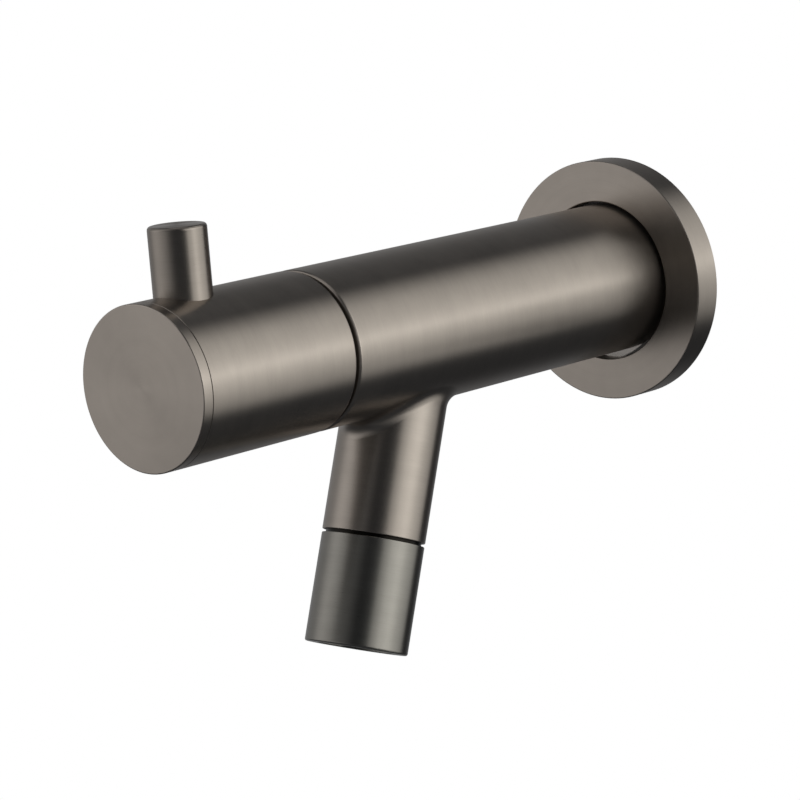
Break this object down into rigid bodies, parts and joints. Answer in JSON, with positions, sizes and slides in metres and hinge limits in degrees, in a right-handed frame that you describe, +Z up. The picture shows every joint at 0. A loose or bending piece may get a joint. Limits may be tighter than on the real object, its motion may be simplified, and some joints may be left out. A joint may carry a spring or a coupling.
{
  "type": "wall-mounted basin tap",
  "caption": "Round wall-mounted basin tap with a slanted spout, an aerator, a flat wall rose and a turning front handle with an upright pin lever.",
  "frame": {"origin": "centre of the inlet thread in the plane of the wall, which is the back face of the rose", "axes": "+Y runs along the tap's axis into the wall, -Y is towards the user, +Z is up, +X is to the right as the user faces the wall"},
  "size_m": [0.0612, 0.1912, 0.1113],
  "materials": {
    "gunmetal_brushed": "brushed gunmetal coating",
    "gunmetal_turned": "turned gunmetal coating",
    "gunmetal_rose": "brushed gunmetal coating",
    "gunmetal_pin": "brushed gunmetal coating",
    "brass": "machined",
    "stainless": "machined",
    "ceramic": "lapped",
    "black_rubber": "matte",
    "grey_silicone": "satin",
    "black_foam": "matte",
    "fibre": "matte",
    "black_plastic": "satin",
    "white_plastic": "satin",
    "grey_plastic": "satin"
  },
  "bodies": {
    "tap_body": {"body": "gunmetal_brushed", "wall_rose": "gunmetal_rose", "rose_grip_ring": "grey_silicone", "rose_wall_seal": "black_foam", "inlet_nipple": "brass", "inlet_washer": "fibre", "nipple_o_rings": "black_rubber", "grub_screw": "stainless", "valve_housing": "brass", "valve_seat_seal": "black_rubber", "valve_flange_washer": "fibre", "fixed_disc": "ceramic", "glide_ring": "black_plastic", "aerator_casing": "gunmetal_turned", "aerator_washer": "black_rubber", "aerator_sleeve": "white_plastic", "aerator_strainer": "stainless", "aerator_diffuser": "white_plastic", "aerator_grid": "grey_plastic"},
    "handle": {"handle_shell": "gunmetal_brushed", "spline_insert": "white_plastic", "handle_screw": "stainless", "handle_screw_washer": "stainless", "front_cap": "gunmetal_turned", "front_cap_o_ring": "black_rubber", "lever_pin": "gunmetal_pin", "lever_stud": "stainless", "spindle": "brass", "spindle_o_rings": "black_rubber", "spindle_thrust_washer": "white_plastic", "spindle_clip": "stainless", "moving_disc": "ceramic"}
  },
  "joints": [
    {"name": "handle_turn", "type": "hinge", "parent": "tap_body", "child": "handle", "pos_m": [0, -0.122, 0], "axis": [0, 1, 0], "range_deg": [0, 90]}
  ]
}
